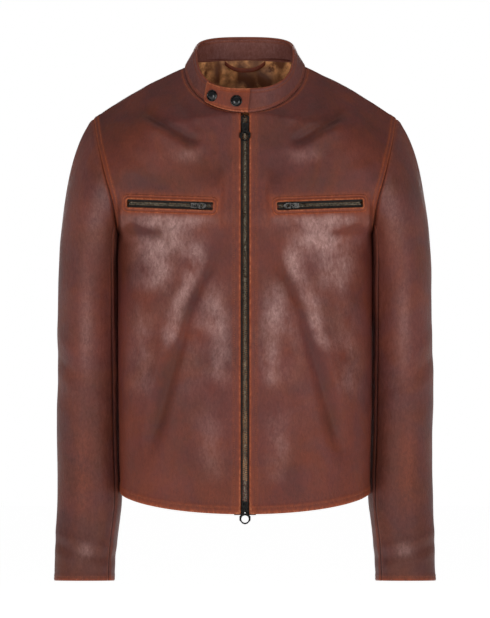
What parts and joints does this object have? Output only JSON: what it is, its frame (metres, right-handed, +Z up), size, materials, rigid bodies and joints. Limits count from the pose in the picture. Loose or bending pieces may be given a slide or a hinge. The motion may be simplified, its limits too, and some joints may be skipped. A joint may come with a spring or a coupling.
{
  "type": "jacket",
  "caption": "Hip-length leather riding jacket with stand-up collar, snapped collar tab, two-way front zip, zipped chest pockets and two-piece set-in sleeves.",
  "frame": {"origin": "on the centre plane, level with the high shoulder points and midway through the depth of the shoulders", "axes": "+X towards the wearer's left, +Y towards the wearer's back, +Z up"},
  "size_m": [0.5618, 0.2492, 0.7962],
  "materials": {
    "leather": "semi-aniline waxed hide, satin",
    "lining": "satin weave viscose",
    "pocketing": "plain weave",
    "zip_tape": "woven twill tape",
    "zip_brass": "antiqued",
    "zip_black": "black nickel, glossy",
    "snap_black": "black enamel, glossy",
    "snap_brass": "antiqued"
  },
  "bodies": {
    "shell": {"back_panel": "leather", "hem_facing_back": "leather", "back_lining": "lining", "collar_band": "leather", "collar_facing": "leather", "snap_stud_1": "snap_brass", "snap_stud_2": "snap_brass", "front_panel_left": "leather", "front_panel_right": "leather", "front_placket_left": "leather", "front_placket_right": "leather", "front_facing_left": "leather", "front_facing_right": "leather", "hem_facing_left": "leather", "hem_facing_right": "leather", "front_lining_left": "lining", "front_lining_right": "lining", "pocket_bag_left": "pocketing", "pocket_bag_right": "pocketing", "pocket_welt_left": "leather", "pocket_welt_right": "leather", "pocket_tape_left": "zip_tape", "pocket_tape_right": "zip_tape", "pocket_teeth_upper_left": "zip_brass", "pocket_teeth_upper_right": "zip_brass", "pocket_teeth_lower_left": "zip_brass", "pocket_teeth_lower_right": "zip_brass", "zip_tape_left": "zip_tape", "zip_tape_right": "zip_tape", "zip_teeth_left": "zip_brass", "zip_teeth_right": "zip_brass", "zip_pin_left": "zip_brass", "zip_pin_right": "zip_brass", "zip_top_stop_left": "zip_brass", "zip_top_stop_right": "zip_brass"},
    "sleeve_left": {"sleeve_upper_left": "leather", "sleeve_under_left": "leather", "sleeve_lining_left": "lining", "cuff_facing_left": "leather"},
    "pocket_slider_left": {"pocket_slider_left": "zip_black"},
    "pocket_pull_left": {"pocket_pull_left": "zip_black"},
    "sleeve_right": {"sleeve_upper_right": "leather", "sleeve_under_right": "leather", "sleeve_lining_right": "lining", "cuff_facing_right": "leather"},
    "pocket_slider_right": {"pocket_slider_right": "zip_black"},
    "pocket_pull_right": {"pocket_pull_right": "zip_black"},
    "top_slider": {"top_slider": "zip_black"},
    "top_pull": {"top_pull": "zip_black"},
    "bottom_slider": {"bottom_slider": "zip_black"},
    "bottom_pull": {"bottom_pull": "zip_black"},
    "collar_tab": {"collar_tab": "leather", "snap_cap_1": "snap_black", "snap_cap_2": "snap_black", "snap_socket_1": "snap_brass", "snap_socket_2": "snap_brass"},
    "hanger_loop": {"hanger_loop": "leather"}
  },
  "joints": [
    {"name": "top_slider_travel", "type": "slide", "parent": "shell", "child": "top_slider", "axis": [0, -0.0508, -0.9987], "range_m": [0, 0.39]},
    {"name": "top_pull_lift", "type": "hinge", "parent": "top_slider", "child": "top_pull", "pos_m": [0, -0.1025, -0.09056], "axis": [-1, 0, 0], "range_deg": [0, 125]},
    {"name": "bottom_slider_travel", "type": "slide", "parent": "shell", "child": "bottom_slider", "axis": [0, 0.0508, 0.9987], "range_m": [0, 0.12]},
    {"name": "bottom_pull_lift", "type": "hinge", "parent": "bottom_slider", "child": "bottom_pull", "pos_m": [0, -0.13109, -0.65284], "axis": [-1, 0, 0], "range_deg": [0, 125]},
    {"name": "pocket_slider_left_travel", "type": "slide", "parent": "shell", "child": "pocket_slider_left", "axis": [0.9882, 0.1489, 0.0349], "range_m": [0, 0.09]},
    {"name": "pocket_pull_left_lift", "type": "hinge", "parent": "pocket_slider_left", "child": "pocket_pull_left", "pos_m": [0.07392, -0.10818, -0.20447], "axis": [-0.0397, 0.0293, 0.9988], "range_deg": [0, 140]},
    {"name": "pocket_slider_right_travel", "type": "slide", "parent": "shell", "child": "pocket_slider_right", "axis": [-0.9882, 0.1489, 0.0349], "range_m": [0, 0.09]},
    {"name": "pocket_pull_right_lift", "type": "hinge", "parent": "pocket_slider_right", "child": "pocket_pull_right", "pos_m": [-0.07392, -0.10818, -0.20447], "axis": [-0.0397, -0.0293, -0.9988], "range_deg": [0, 140]},
    {"name": "collar_tab_open", "type": "hinge", "parent": "shell", "child": "collar_tab", "pos_m": [0.00434, -0.10291, -0.06497], "axis": [0.1065, 0.1406, 0.9843], "range_deg": [0, 140]},
    {"name": "sleeve_left_swing", "type": "hinge", "parent": "shell", "child": "sleeve_left", "pos_m": [0.223, -0.004, -0.076], "axis": [0, -1, 0], "range_deg": [0, 15]},
    {"name": "sleeve_right_swing", "type": "hinge", "parent": "shell", "child": "sleeve_right", "pos_m": [-0.223, -0.004, -0.076], "axis": [0, 1, 0], "range_deg": [0, 15]},
    {"name": "hanger_loop_swing", "type": "hinge", "parent": "shell", "child": "hanger_loop", "pos_m": [0, 0.05, 0.008], "axis": [-1, 0, 0], "range_deg": [0, 80]}
  ]
}
